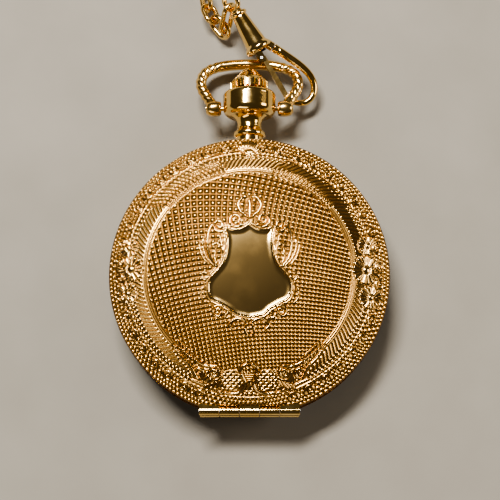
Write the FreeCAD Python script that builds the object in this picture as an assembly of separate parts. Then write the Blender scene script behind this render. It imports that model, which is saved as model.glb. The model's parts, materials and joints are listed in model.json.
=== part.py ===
"""Hunter-case pocket watch with its bow, winding crown, hand-wound movement, swivel clasp and short chain.

The watch lies on its back: +Z comes out of the front cover, +Y runs to the pendant at 12 o'clock, and the
origin is the middle of the flat on the back cover. Sizes are in millimetres.
"""
import FreeCAD
import Part
import math
import os

V = FreeCAD.Vector
PARTS = "parts"

# --- Driving dimensions: the case ---
CASE_R = 24.0            # outside of both covers
SHELL = 0.5              # sheet thickness of the covers
FRONT_TOP = 13.0         # highest point of the front cover
FRONT_DROP = 3.7         # fall of the front dome from its middle to its rim
FRONT_POWER = 2.6        # how square the front dome's shoulder is
BACK_FLAT_R = 13.0       # flat on the back cover that the watch rests on
BACK_DROP = 3.6
FRONT_SEAM = 8.9         # joint between case band and front cover
BACK_SEAM = 4.0
SEAM_GAP = 0.05
BAND_R = 23.6
BAND_BORE_R = 20.4
MID_Z = 6.45             # axis of pendant, stem and crown

# --- Hinges at 6 o'clock ---
HINGE_Y = -23.2
HINGE_R = 0.72
HINGE_PIN_R = 0.3
HINGE_BORE_R = 0.34
HINGE_HALF = 8.5         # half of the hinge's length
CHORD_Y = -22.35         # the covers are cut straight here to clear the hinge

# --- Movement levels, from the back towards the dial ---
RATCHET_Z = (3.15, 3.45)
BRIDGE_Z = (3.5, 4.4)
PLATE_Z = (6.9, 7.9)
DIAL_Z = (8.3, 8.6)
PLATE_R = 19.0
BRIDGE_R = 18.5
PIVOT_R = 0.15
JEWEL_BORE_R = 0.18
JEWEL_R = 0.6
ARBOR_R = 0.3

# --- Train: teeth, module and centres ---
CENTRE = (0.0, 0.0)
FOURTH = (0.0, -9.5)
THIRD = (-6.137, -6.583)
ESCAPE = (2.86, -14.454)
BALANCE = (10.6, -8.4)
BARREL = (7.593, 5.195)
CROWN_WHEEL = (0.0, 13.7)
TRAIN_MODULE = 0.2
THIRD_MODULE = 0.16
FOURTH_MODULE = 0.13
MOTION_MODULE = 0.15
HOUR_MODULE = 0.144
KEYLESS_MODULE = 0.3
MINUTE_WHEEL = (-2.546, -2.546)

# --- Pendant, crown and bow ---
PENDANT_R = 4.65
BOW_Y = 30.2
BOW_WIRE_R = 1.0
BOW_HALF = 8.65          # half width of the bow's centreline
BOW_TOP = 9.9            # height of the bow's centreline above the pivots
BOW_LUG_X = 6.2
BOW_LUG_R = 1.35
BOW_DROOP = 20.0         # the bow rests this many degrees below the case's middle plane
CROWN_R = 3.3
CROWN_Y = 33.45          # near end of the crown
CROWN_RIBS = 26

# --- Clasp: its own axes are u along the barrel to the hook's tip, v across it, w out of its plane ---
CLASP_AT = (2.49, 40.3, 5.4)
CLASP_HEADING = (0.52, -0.854)
CLASP_PITCH = 10.0       # degrees the clasp falls towards its tip
HOOK_ROOT_R = 0.85       # the hook's wire tapers from its root to its tip
HOOK_TIP_R = 0.5
LINK_WIRE_R = 0.45


def save(name, shape):
    """Writes one sub-part, as a group of its solids."""
    solids = shape.Solids
    shape = solids[0] if len(solids) == 1 else Part.makeCompound(solids)
    shape.exportStep(os.path.join(PARTS, name + ".step"))


def group(shapes):
    return Part.makeCompound([solid for shape in shapes for solid in shape.Solids])


def fuse(first, *others):
    shape = first
    for other in others:
        shape = shape.fuse(other)
    return shape.removeSplitter()


def disc(r, z, at=CENTRE):
    """A cylinder along Z between the two heights in z."""
    return Part.makeCylinder(r, z[1] - z[0], V(at[0], at[1], z[0]))


def ring(r_in, r_out, z, at=CENTRE):
    return disc(r_out, z, at).cut(disc(r_in, (z[0] - 1, z[1] + 1), at))


def box(x, y, z):
    return Part.makeBox(x[1] - x[0], y[1] - y[0], z[1] - z[0], V(x[0], y[0], z[0]))


def rod_x(r, x, y, z):
    """A cylinder along X between the two places in x."""
    return Part.makeCylinder(r, x[1] - x[0], V(x[0], y, z), V(1, 0, 0))


def rod_y(r, y, z=MID_Z):
    """A cylinder along Y on the stem's axis."""
    return Part.makeCylinder(r, y[1] - y[0], V(0, y[0], z), V(0, 1, 0))


def outline(points):
    """Closed wire in the XZ plane. A point may be (x, z), or ((x, z) through, (x, z) end) for an arc."""
    def at(p):
        return V(p[0], 0, p[1])
    edges = []
    here = points[0]
    for point in points[1:] + [points[0]]:
        if isinstance(point[0], tuple):
            edges.append(Part.Arc(at(here), at(point[0]), at(point[1])).toShape())
            here = point[1]
        elif point != here:
            edges.append(Part.LineSegment(at(here), at(point)).toShape())
            here = point
    return Part.Wire(edges)


def turned(points):
    """Solid of revolution about Z from an (r, z) outline."""
    return Part.Face(outline(points)).revolve(V(0, 0, 0), V(0, 0, 1), 360)


def turned_on_stem(points):
    """Solid of revolution about the stem's axis from an (r, y) outline."""
    shape = turned(points)
    shape.rotate(V(0, 0, 0), V(1, 0, 0), -90)
    shape.translate(V(0, 0, MID_Z))
    return shape


def front_z(r):
    return FRONT_TOP - FRONT_DROP * (r / CASE_R) ** FRONT_POWER


def back_z(r):
    return BACK_DROP * (max(r - BACK_FLAT_R, 0) / (CASE_R - BACK_FLAT_R)) ** 2


def dome_edges(height, reach, flat_r, shift=0.0):
    """The dome's section out to reach, moved up by shift: straight as far as flat_r, then curved."""
    def z(r):
        return height(r) + shift

    slope = (z(reach) - z(reach - 0.01)) / 0.01
    curve = Part.BSplineCurve()
    curve.interpolate(
        Points=[V(r, 0, z(r)) for r in [flat_r + (reach - flat_r) * i / 8 for i in range(9)]],
        InitialTangent=V(1, 0, 0), FinalTangent=V(1, 0, slope))
    flat = [line((0, z(0)), (flat_r, z(0)))] if flat_r else []
    return flat + [curve.toShape()]


def line(a, b):
    return Part.LineSegment(V(a[0], 0, a[1]), V(b[0], 0, b[1])).toShape()


def dome_shell(height, rim_z, inward, flat_r):
    """A cover: two copies of the dome curve one sheet apart, closed by a square rim down to the seam."""
    inner_r = CASE_R - 0.8
    shift = inward * SHELL
    edges = dome_edges(height, CASE_R, flat_r) + dome_edges(height, inner_r, flat_r, shift) + [
        line((CASE_R, height(CASE_R)), (CASE_R, rim_z)),
        line((CASE_R, rim_z), (inner_r, rim_z)),
        line((inner_r, rim_z), (inner_r, height(inner_r) + shift)),
        line((0, height(0) + shift), (0, height(0))),
    ]
    wire = Part.Wire(Part.__sortEdges__(edges))
    return Part.Face(wire).revolve(V(0, 0, 0), V(0, 0, 1), 360)


# --- Gears ---
def gear(teeth, module, z, at, phase=0.0, bore=0.0, tip=0.85, root=1.15):
    """A spur gear with straight-sided teeth, thinner than half the pitch, so a pair has backlash."""
    pitch_r = teeth * module / 2
    step = 2 * math.pi / teeth
    sides = (
        (pitch_r - root * module, 0.28),
        (pitch_r, 0.2),
        (pitch_r + tip * module, 0.08),
    )
    flank = [(r, -half) for r, half in sides] + [(r, half) for r, half in reversed(sides)]
    points = []
    for i in range(teeth):
        for r, share in flank:
            angle = phase + (i + share) * step
            points.append(V(at[0] + r * math.cos(angle), at[1] + r * math.sin(angle), z[0]))
    points.append(points[0])
    solid = Part.Face(Part.makePolygon(points)).extrude(V(0, 0, z[1] - z[0]))
    return solid.cut(disc(bore, (z[0] - 1, z[1] + 1), at)) if bore else solid


def mesh_phase(teeth_a, phase_a, at_a, teeth_b, at_b):
    """Phase that puts a gap of gear b opposite a tooth of gear a on their line of centres."""
    line_angle = math.atan2(at_b[1] - at_a[1], at_b[0] - at_a[0])
    step_a = 2 * math.pi / teeth_a
    ahead = (phase_a - line_angle) % step_a
    return line_angle + math.pi - ahead * teeth_a / teeth_b + math.pi / teeth_b


def windows(hub_r, rim_r, z, at, spokes, width):
    """The openings between a wheel's spokes, to be cut from it."""
    shape = ring(hub_r, rim_r, (z[0] - 0.5, z[1] + 0.5), at)
    for i in range(spokes):
        bar = box((0, rim_r + 1), (-width / 2, width / 2), (z[0] - 1, z[1] + 1))
        bar.rotate(V(0, 0, 0), V(0, 0, 1), 360 * i / spokes + 18)
        bar.translate(V(at[0], at[1], 0))
        shape = shape.cut(bar)
    return shape


def arbor(at, z_low=BRIDGE_Z[1], z_high=PLATE_Z[0]):
    """A train arbor with a pivot at each end that runs in a jewel."""
    body = disc(ARBOR_R, (z_low + 0.03, z_high - 0.03), at)
    return fuse(body, disc(PIVOT_R, (z_low - 0.4, z_high + 0.35), at))


def spiral(r0, r1, turns, thickness, z, at):
    """A flat spiral spring."""
    steps = int(turns * 20)
    rows = ([], [])
    for i in range(steps + 1):
        angle = 2 * math.pi * turns * i / steps
        r = r0 + (r1 - r0) * i / steps
        for row, extra in zip(rows, (0, thickness)):
            x = at[0] + (r + extra) * math.cos(angle)
            y = at[1] + (r + extra) * math.sin(angle)
            row.append(V(x, y, z[0]))
    points = rows[0] + rows[1][::-1] + [rows[0][0]]
    return Part.Face(Part.makePolygon(points)).extrude(V(0, 0, z[1] - z[0]))


def screw(at, z_head, z_end, r_head=0.75, r_shank=0.4, head=0.3):
    """A slotted screw whose head is at z_head and whose shank ends at z_end, nearer the dial."""
    shape = fuse(disc(r_head, (z_head, z_head + head), at), disc(r_shank, (z_head, z_end), at))
    slot = box((at[0] - r_head, at[0] + r_head), (at[1] - 0.09, at[1] + 0.09), (z_head - 1, z_head + 0.12))
    return shape.cut(slot)


# --- Case ---
def hinge_spans():
    """The hinge's five knuckles: the first, third and fifth are the cover's."""
    gap = 0.06
    width = 2 * HINGE_HALF / 5
    return [(-HINGE_HALF + i * width + gap, -HINGE_HALF + (i + 1) * width - gap) for i in range(5)]


def with_knuckles(shape, spans, z, side):
    """Adds knuckles and the webs that carry them. side is 1 if the webs stand above the axis, -1 below."""
    web = (z + SEAM_GAP, z + HINGE_R) if side > 0 else (z - HINGE_R, z - SEAM_GAP)
    for span in spans:
        knuckle = rod_x(HINGE_R, span, HINGE_Y, z)
        shape = shape.fuse(knuckle).fuse(box(span, (HINGE_Y, CHORD_Y + 0.4), web))
    bore = rod_x(HINGE_BORE_R, (-HINGE_HALF - 1, HINGE_HALF + 1), HINGE_Y, z)
    return shape.cut(bore).removeSplitter()


def hinge_room(z, reach=0.12):
    half = HINGE_HALF + 0.1
    return rod_x(HINGE_R + reach, (-half, half), HINGE_Y, z)


def cover(height, seam, side, flat_r=0):
    """A domed cover, cut straight beside the hinge and closed there by a wall that carries the knuckles."""
    rim_z = seam + side * SEAM_GAP
    shell = dome_shell(height, rim_z, -side, flat_r)
    half = HINGE_HALF + 0.1
    shell = shell.cut(box((-half, half), (-CASE_R - 1, CHORD_Y), (-5, 20)))
    solid = Part.Face(Part.Wire(Part.__sortEdges__(dome_edges(height, CASE_R, flat_r) + [
        line((CASE_R, height(CASE_R)), (CASE_R, rim_z)),
        line((CASE_R, rim_z), (0, rim_z)),
        line((0, rim_z), (0, height(0))),
    ]))).revolve(V(0, 0, 0), V(0, 0, 1), 360)
    wall = solid.common(box((-half - 0.6, half + 0.6), (CHORD_Y, CHORD_Y + 0.6), (-5, 20)))
    return with_knuckles(shell.fuse(wall), hinge_spans()[0::2], seam, side)


def front_cover():
    return cover(front_z, FRONT_SEAM, 1)


def back_cover():
    return cover(back_z, BACK_SEAM, -1, BACK_FLAT_R)


def case_band():
    low, high = BACK_SEAM, FRONT_SEAM
    band = turned([
        (BAND_BORE_R, low), (BAND_R - 0.35, low), ((BAND_R - 0.1, low + 0.1), (BAND_R, low + 0.35)),
        (BAND_R, high - 0.35), ((BAND_R - 0.1, high - 0.1), (BAND_R - 0.35, high)), (BAND_BORE_R, high),
    ])
    rim_flat = HINGE_Y - 0.2
    half = HINGE_HALF + 0.1
    band = band.cut(box((-half, half), (-CASE_R - 1, rim_flat), (low - 1, high + 1)))
    for z in (low, high):
        band = band.cut(hinge_room(z))
    spans = hinge_spans()[1::2]
    band = with_knuckles(band, spans, high, -1)
    band = with_knuckles(band, spans, low, 1)
    band = band.cut(rod_y(1.3, (15, 30))).cut(rod_y(2.3, (22.9, 30)))
    band = band.cut(box((-1.5, 1.5), (21.9, 23.15), (7.6, high + 1)))
    groove = ring(BAND_BORE_R - 1, BAND_BORE_R + 0.8, (8.0, 8.8))
    return band.cut(groove.common(box((-17, 17), (-25, -8), (7, 10))))


def lift_spring():
    """A flat bow of spring steel in the band's groove, which throws the front cover open."""
    strip = ring(BAND_BORE_R + 0.35, BAND_BORE_R + 0.7, (8.1, 8.7))
    return strip.common(box((-15, 15), (-25, -9), (7, 10)))


def cover_catch():
    """The latch that the pressed crown draws inwards, off the front cover's rim."""
    post = box((-1.4, 1.4), (22.35, 22.75), (7.7, 9.1))
    foot = box((-1.4, 1.4), (22.1, 22.4), (7.7, 8.0))
    return fuse(post, foot)


def pendant():
    """Neck and barrel: the neck's foot stands in the band, and the barrel's top takes the crown."""
    low = BOW_Y - 1.5
    high = BOW_Y + 2.95
    outer = turned_on_stem([
        (1.3, 22.9), (2.3, 22.9), (2.3, 24.8), ((2.8, 25.3), (2.6, 25.9)), ((2.25, 26.3), (2.15, 26.9)),
        ((2.35, 28.0), (3.2, low)), ((4.3, low + 0.45), (PENDANT_R, low + 1.4)), (PENDANT_R, high - 0.9),
        ((4.45, high - 0.25), (3.9, high)), (3.55, high), (3.55, high - 1.1), (1.3, high - 1.1),
    ])
    holes = rod_x(0.45, (-10, 10), BOW_Y, MID_Z).cut(rod_x(0.6, (-2.2, 2.2), BOW_Y, MID_Z))
    return outer.cut(holes)


def pendant_sleeve():
    """The sprung sleeve that holds the crown's shank at its winding and setting places."""
    return turned_on_stem([
        (0.66, 25.4), (1.25, 25.4), (1.25, 31.6), (0.66, 31.6), (0.66, 30.0), (0.8, 29.8),
        (0.8, 26.4), (0.66, 26.2),
    ])


def bow_screws():
    screws = []
    for side in (-1, 1):
        shank = rod_x(0.4, sorted_pair(side * 2.3, side * 7.7), BOW_Y, MID_Z)
        head = rod_x(0.75, sorted_pair(side * 7.25, side * 7.65), BOW_Y, MID_Z)
        slot = box(sorted_pair(side * 7.5, side * 8), (BOW_Y - 1, BOW_Y + 1), (MID_Z - 0.1, MID_Z + 0.1))
        screws.append(fuse(shank, head).cut(slot))
    return group(screws)


def sorted_pair(a, b):
    return (min(a, b), max(a, b))


def bow():
    """An oval ring of round wire that ends in two lugs on the pendant's screws."""
    side_route = [
        (BOW_LUG_X, 0.0), (6.85, 1.3), (7.75, 2.85), (8.5, 4.5), (BOW_HALF, 6.1), (8.05, 7.75),
        (6.5, 8.95), (3.7, 9.65),
    ]
    left = [V(-x, y, 0) for x, y in side_route]
    right = [V(x, y, 0) for x, y in reversed(side_route)]
    route = left + [V(0, BOW_TOP, 0)] + right
    curve = Part.BSplineCurve()
    curve.interpolate(route)
    path = Part.Wire(curve.toShape())
    section = Part.Wire(Part.makeCircle(BOW_WIRE_R, route[0], curve.tangent(0)[0]))
    shape = path.makePipeShell([section], True, True)
    for side in (-1, 1):
        lug_from = side * (BOW_LUG_X + 0.1) - 1.3
        shape = shape.fuse(Part.makeCylinder(BOW_LUG_R, 2.6, V(lug_from, 0, 0), V(1, 0, 0)))
        recess = Part.makeCylinder(0.8, 5, V(side * 7.2, 0, 0), V(side, 0, 0))
        shape = shape.cut(recess)
    shape = shape.removeSplitter().cut(Part.makeCylinder(0.44, 20, V(-10, 0, 0), V(1, 0, 0)))
    shape.rotate(V(0, 0, 0), V(1, 0, 0), -BOW_DROOP)
    shape.translate(V(0, BOW_Y, MID_Z))
    return shape


def cap_arc(r, edge, top):
    """Arc from (r, edge) to the axis at (0, top) that is part of a sphere, as outline() takes it."""
    rise = top - edge
    sphere_r = (r * r + rise * rise) / (2 * rise)
    middle = top - sphere_r + math.copysign(math.sqrt(sphere_r ** 2 - (r / 2) ** 2), sphere_r)
    return ((r / 2, middle), (0, top))


def crown():
    """The knurled onion crown with its shank and the square that slides in the winding stem."""
    knurl = gear(CROWN_RIBS, 2 * CROWN_R / CROWN_RIBS, (CROWN_Y, CROWN_Y + 3.2), (0, 0), tip=0.0, root=1.0)
    knurl.rotate(V(0, 0, 0), V(1, 0, 0), -90)
    knurl.translate(V(0, 0, MID_Z))
    low, high = CROWN_Y, CROWN_Y + 3.0
    knurl = knurl.common(turned_on_stem([
        (0, low), (CROWN_R - 0.35, low), (CROWN_R, low + 0.35), (CROWN_R, low + 1.4),
        (CROWN_R - 0.5, low + 2.1),
        (1.9, high), (0, high),
    ]))
    core = turned_on_stem([
        (0, low + 0.2), (CROWN_R - 0.5, low + 0.2), (CROWN_R - 0.45, low + 1.6), (2.3, low + 2.5),
        (1.7, high + 0.15),
        cap_arc(1.7, high + 0.15, high + 1.15),
    ])
    shank = rod_y(0.62, (27.2, low + 1))
    square = box((-0.36, 0.36), (16.7, 27.4), (MID_Z - 0.36, MID_Z + 0.36))
    return fuse(knurl, core, shank, square)


def front_bezel():
    return turned([
        (18.2, 8.9), (18.2, 9.3), (18.98, 9.3), (18.98, 10.25), ((19.15, 10.33), (19.4, 10.25)),
        (21.6, 9.35), (21.6, 8.92), (20.3, 8.92), (20.3, 8.45), (19.5, 8.45), (19.5, 8.9),
    ])


def crystal_gasket():
    return ring(18.3, 18.9, (9.31, 9.41))


def crystal():
    """Domed glass over the dial."""
    inside = turned([(0, 9.42), (18.0, 9.42), cap_arc(18.0, 9.42, 10.5)])
    return turned([(0, 9.42), (18.93, 9.42), (18.93, 9.95), cap_arc(18.93, 9.95, 11.1)]).cut(inside)


def rear_bezel():
    return turned([
        (16.6, 1.78), (17.45, 1.78), (17.45, 1.4), (17.9, 1.4), (21.6, 3.15), (21.6, 3.93), (20.35, 3.93),
        (20.35, 4.6), (19.6, 4.6), (19.6, 3.6), (16.6, 2.1),
    ])


def rear_glass():
    return disc(17.4, (1.3, 1.75))


def movement_ring():
    holder = ring(19.05, 20.35, (4.65, 7.9))
    return holder.cut(rod_y(1.3, (15, 30)))


# --- Movement plates ---
TRAIN_PIVOTS = (THIRD, FOURTH, ESCAPE)
BARREL_PILLARS = ((-13.5, 6.0), (-6.8, 13.4), (7.0, 15.6))
TRAIN_PILLARS = ((-13.5, -2.0), (-14.0, -8.5), (-4.5, -15.0))
COCK_FOOT = (16.3, -0.8)
CLICK = (-3.6, 7.0)
PALLET = (5.93, -12.05)
PALLET_FOOT = (8.9, -15.0)
PILLAR_R = 1.2


def main_plate():
    plate = disc(PLATE_R, PLATE_Z)
    plate = plate.cut(disc(6.8, (7.4, 9.0)))
    for at in TRAIN_PIVOTS + (BALANCE, PALLET):
        plate = plate.cut(disc(JEWEL_R, (6, 9), at))
    plate = plate.cut(disc(0.36, (6, 9)))
    plate = plate.cut(disc(0.56, (6, 9), BARREL))
    for x, y in DIAL_FEET:
        plate = plate.cut(disc(0.42, (6, 9), (x, y)))
    keyless = box((-1.75, 1.75), (15.4, 20), (5, 9))
    for at in BARREL_PILLARS + TRAIN_PILLARS + (COCK_FOOT, PALLET_FOOT):
        plate = plate.cut(disc(0.42, (6, 9), at))
    stud = fuse(disc(0.8, (3.12, 7.0), CROWN_WHEEL), disc(1.25, (2.85, 3.12), CROWN_WHEEL))
    return fuse(plate.cut(keyless), stud, disc(0.27, (7.3, 8.2), MINUTE_WHEEL))


DIAL_FEET = tuple((17 * math.cos(a), 17 * math.sin(a)) for a in (math.radians(160), math.radians(340)))


def bridge(region, pillars, holes):
    """Part of the disc between the bridge heights, standing on pillars with screws down through them."""
    shape = disc(BRIDGE_R, BRIDGE_Z).common(region)
    for at in pillars:
        shape = shape.fuse(disc(PILLAR_R, (BRIDGE_Z[0], PLATE_Z[0]), at))
    for at in pillars:
        shape = shape.cut(disc(0.42, (0, 9), at)).cut(disc(0.8, (0, BRIDGE_Z[0] + 0.35), at))
    for at, r in holes:
        shape = shape.cut(disc(r, (0, 9), at))
    return shape.removeSplitter()


def barrel_bridge():
    region = box((-20, 20), (1.3, 20), BRIDGE_Z)
    region = region.cut(disc(3.3, (3, 5), CROWN_WHEEL))
    return bridge(region, BARREL_PILLARS, [(BARREL, 0.95), (CLICK, 0.42)])


def train_bridge():
    region = box((-20, 6.2), (-20, 1.1), BRIDGE_Z)
    region = region.cut(disc(6.7, (3, 5), BALANCE))
    holes = [(at, JEWEL_R) for at in TRAIN_PIVOTS + (CENTRE,)]
    return bridge(region, TRAIN_PILLARS, holes)


def arm_between(a, b, width, z, r_a, r_b):
    """A flat arm from a to b with a round end at each."""
    length = math.hypot(b[0] - a[0], b[1] - a[1])
    bar = box((0, length), (-width / 2, width / 2), z)
    bar.rotate(V(0, 0, 0), V(0, 0, 1), math.degrees(math.atan2(b[1] - a[1], b[0] - a[0])))
    bar.translate(V(a[0], a[1], 0))
    return fuse(bar, disc(r_a, z, a), disc(r_b, z, b))


def balance_cock():
    arm = arm_between(BALANCE, COCK_FOOT, 2.6, BRIDGE_Z, 2.2, 1.8)
    foot = disc(1.8, (BRIDGE_Z[0], PLATE_Z[0]), COCK_FOOT)
    shape = fuse(arm, foot).cut(disc(0.42, (0, 9), COCK_FOOT)).cut(disc(0.8, (0, 3.85), COCK_FOOT))
    return shape.cut(disc(JEWEL_R, (0, 9), BALANCE))


def pallet_cock():
    z = (4.45, 4.85)
    arm = arm_between(PALLET, PALLET_FOOT, 1.3, z, 0.85, 0.9)
    foot = disc(0.9, (z[0], PLATE_Z[0]), PALLET_FOOT)
    shape = fuse(arm, foot).cut(disc(0.42, (0, 9), PALLET_FOOT))
    return shape.cut(disc(PIVOT_R + 0.03, (0, 9), PALLET))


def bridge_screws():
    screws = [screw(at, BRIDGE_Z[0] + 0.03, 7.6) for at in BARREL_PILLARS + TRAIN_PILLARS + (COCK_FOOT,)]
    screws.append(screw(PALLET_FOOT, 4.15, 7.6))
    return group(screws)


def jewels():
    low = (BRIDGE_Z[1] - 0.42, BRIDGE_Z[1])
    high = (PLATE_Z[0], PLATE_Z[0] + 0.4)
    stones = [ring(JEWEL_BORE_R, JEWEL_R, low, at) for at in TRAIN_PIVOTS + (BALANCE, CENTRE)]
    stones += [ring(JEWEL_BORE_R, JEWEL_R, high, at) for at in TRAIN_PIVOTS[:1] + (ESCAPE, BALANCE, PALLET)]
    stones.append(ring(0.23, JEWEL_R, high, FOURTH))
    return group(stones)


def dial():
    plate = disc(19.4, DIAL_Z)
    plate = plate.cut(disc(1.0, (8, 9))).cut(disc(0.4, (8, 9), FOURTH))
    plate = plate.cut(disc(4.1, (8.5, 9), FOURTH))
    feet = [disc(0.38, (7.2, 8.4), at) for at in DIAL_FEET]
    return fuse(plate, *feet)


def hour_markers():
    """Applied batons, twelve round the dial, the lowest one short to clear the seconds dial."""
    bars = []
    for hour in range(12):
        length = 1.2 if hour == 6 else 3.2
        bar = box((-0.3, 0.3), (17.4 - length, 17.4), (DIAL_Z[1], DIAL_Z[1] + 0.14))
        bar.rotate(V(0, 0, 0), V(0, 0, 1), -30 * hour)
        bars.append(bar)
    return group(bars)


def seconds_dial():
    return ring(0.4, 4.05, (8.5, 8.56), FOURTH)


# --- Train ---
PHASE_CENTRE = 0.05
PHASE_THIRD = mesh_phase(80, PHASE_CENTRE, CENTRE, 10, THIRD)
PHASE_FOURTH = mesh_phase(75, PHASE_THIRD, THIRD, 10, FOURTH)
PHASE_ESCAPE = mesh_phase(80, PHASE_FOURTH, FOURTH, 8, ESCAPE)
PHASE_BARREL = mesh_phase(12, PHASE_CENTRE, CENTRE, 80, BARREL)
PHASE_MINUTE = mesh_phase(12, PHASE_CENTRE, CENTRE, 36, MINUTE_WHEEL)
PHASE_HOUR = mesh_phase(10, PHASE_MINUTE, MINUTE_WHEEL, 40, CENTRE)
PHASE_CROWN_WHEEL = math.pi / 2
PHASE_RATCHET = mesh_phase(22, PHASE_CROWN_WHEEL, CROWN_WHEEL, 54, BARREL)


def wheel(teeth, module, z, at, phase, hub_r, spokes=5):
    blank = gear(teeth, module, z, at, phase)
    rim_r = teeth * module / 2 - 2.3 * module
    return blank.cut(windows(hub_r, rim_r - 0.25, z, at, spokes, 0.55))


def centre_wheel():
    z = (4.6, 4.8)
    body = wheel(80, TRAIN_MODULE, z, CENTRE, PHASE_CENTRE, 1.5)
    pinion = gear(12, TRAIN_MODULE, (6.05, 6.75), CENTRE, PHASE_CENTRE)
    shaft = fuse(disc(ARBOR_R + 0.2, (4.43, 6.8)), disc(PIVOT_R, (4.0, 4.5)), disc(ARBOR_R, (6.7, 9.25)))
    return fuse(body, pinion, shaft)


def third_wheel():
    body = wheel(75, THIRD_MODULE, (5.2, 5.4), THIRD, PHASE_THIRD, 1.1)
    return fuse(body, gear(10, TRAIN_MODULE, (4.5, 5.1), THIRD, PHASE_THIRD), arbor(THIRD))


def fourth_wheel():
    body = wheel(80, FOURTH_MODULE, (5.8, 6.0), FOURTH, PHASE_FOURTH, 1.0)
    tail = disc(0.2, (6.8, 8.83), FOURTH)
    return fuse(body, gear(10, THIRD_MODULE, (5.1, 5.5), FOURTH, PHASE_FOURTH), arbor(FOURTH), tail)


def escape_wheel():
    """Fifteen hooked teeth on a light wheel."""
    z = (5.2, 5.4)
    teeth = 15
    points = []
    for i in range(teeth):
        start = 2 * math.pi * i / teeth
        for r, turn in ((2.2, 0.0), (2.95, 0.17), (2.98, 0.21), (2.2, 0.2)):
            angle = start + turn
            points.append(V(ESCAPE[0] + r * math.cos(angle), ESCAPE[1] + r * math.sin(angle), z[0]))
    points.append(points[0])
    body = Part.Face(Part.makePolygon(points)).extrude(V(0, 0, z[1] - z[0]))
    body = body.cut(windows(0.8, 1.75, z, ESCAPE, 4, 0.35))
    return fuse(body, gear(8, FOURTH_MODULE, (5.65, 6.15), ESCAPE, PHASE_ESCAPE), arbor(ESCAPE))


def pallet_fork():
    """The lever: two arms with stones that stand just clear of the escape teeth, and a forked tail."""
    z = (5.46, 5.66)
    heading = math.atan2(BALANCE[1] - PALLET[1], BALANCE[0] - PALLET[0])

    def place(shape):
        shape.rotate(V(0, 0, 0), V(0, 0, 1), math.degrees(heading))
        shape.translate(V(PALLET[0], PALLET[1], 0))
        return shape

    tail = box((0, 4.75), (-0.2, 0.2), z)
    horns = [box((4.4, 4.95), sorted_pair(side * 0.2, side * 0.45), z) for side in (-1, 1)]
    arms = box((-0.55, 0.25), (-2.3, 2.3), z)
    stones = [box((-1.35, -0.35), sorted_pair(side * 1.95, side * 2.3), (5.2, 5.5)) for side in (-1, 1)]
    lever = place(fuse(tail, horns[0], horns[1], arms, stones[0], stones[1]))
    return fuse(lever, arbor(PALLET, 4.85))


def balance_wheel():
    z = (5.0, 5.4)
    rim = ring(4.25, 4.85, z, BALANCE)
    arm = box((-4.5, 4.5), (-0.4, 0.4), (z[0], z[0] + 0.2))
    arm.translate(V(BALANCE[0], BALANCE[1], 0))
    hub = disc(0.85, z, BALANCE)
    roller = disc(0.8, (5.75, 5.95), BALANCE)
    screws = []
    for i in range(10):
        angle = 36 * i + 18
        stub = Part.makeCylinder(0.17, 0.45, V(4.7, 0, 5.2), V(1, 0, 0))
        stub.rotate(V(0, 0, 0), V(0, 0, 1), angle)
        stub.translate(V(BALANCE[0], BALANCE[1], 0))
        screws.append(stub)
    return fuse(rim, arm, hub, roller, arbor(BALANCE), *screws)


def hairspring():
    return spiral(0.75, 2.6, 6, 0.07, (4.6, 4.85), BALANCE)


def mainspring_barrel():
    drum = ring(7.2, 7.6, (5.0, 6.4), BARREL)
    floor = ring(0.95, 7.4, (5.0, 5.25), BARREL)
    teeth = gear(80, TRAIN_MODULE, (6.12, 6.4), BARREL, PHASE_BARREL).cut(disc(7.3, (5, 7), BARREL))
    return fuse(drum, floor, teeth)


def barrel_cover():
    return ring(0.95, 7.15, (6.2, 6.4), BARREL)


def mainspring():
    return spiral(1.6, 6.9, 9, 0.14, (5.3, 6.15), BARREL)


def barrel_arbor():
    core = disc(1.25, (5.3, 6.15), BARREL)
    shaft = disc(0.9, (3.15, 6.85), BARREL)
    return fuse(core, shaft, disc(0.5, (6.8, 7.6), BARREL))


def ratchet_wheel():
    return gear(54, KEYLESS_MODULE, RATCHET_Z, BARREL, PHASE_RATCHET, bore=0.9)


def ratchet_screw():
    return screw(BARREL, 2.8, 3.14, r_head=1.5, r_shank=0.5)


def crown_wheel():
    """Spur teeth for the ratchet wheel below, and a rim of face teeth for the winding pinion above."""
    spur = gear(22, KEYLESS_MODULE, RATCHET_Z, CROWN_WHEEL, PHASE_CROWN_WHEEL, bore=0.84)
    rim = ring(2.65, 3.05, (RATCHET_Z[1] - 0.05, 4.7), CROWN_WHEEL)
    face_teeth = []
    for i in range(20):
        tooth = box((2.65, 3.05), (-0.1, 0.1), (4.65, 4.94))
        tooth.rotate(V(0, 0, 0), V(0, 0, 1), 90 + 18 * i)
        tooth.translate(V(CROWN_WHEEL[0], CROWN_WHEEL[1], 0))
        face_teeth.append(tooth)
    return fuse(spur, rim, *face_teeth)


def winding_stem():
    """Square-holed stem in the movement that the crown's square slides in and turns."""
    stem = rod_y(0.82, (15.55, 19.9))
    return stem.cut(box((-0.41, 0.41), (15.85, 21), (MID_Z - 0.41, MID_Z + 0.41)))


def winding_pinion():
    """Face-meshing pinion on the stem, half a tooth round from straight up."""
    phase = math.pi / 2 + math.pi / 10
    pinion = gear(10, KEYLESS_MODULE, (16.35, 17.15), (0, 0), phase, bore=0.82, tip=0.4, root=0.8)
    pinion.rotate(V(0, 0, 0), V(1, 0, 0), -90)
    pinion.translate(V(0, 0, MID_Z))
    return pinion


def click():
    """The pawl that holds the ratchet wheel, resting just clear of its teeth."""
    tip = (BARREL[0] + 8.75 * math.cos(math.radians(152)), BARREL[1] + 8.75 * math.sin(math.radians(152)))
    return arm_between(CLICK, tip, 0.8, RATCHET_Z, 0.9, 0.3).cut(disc(0.42, (0, 9), CLICK))


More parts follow.
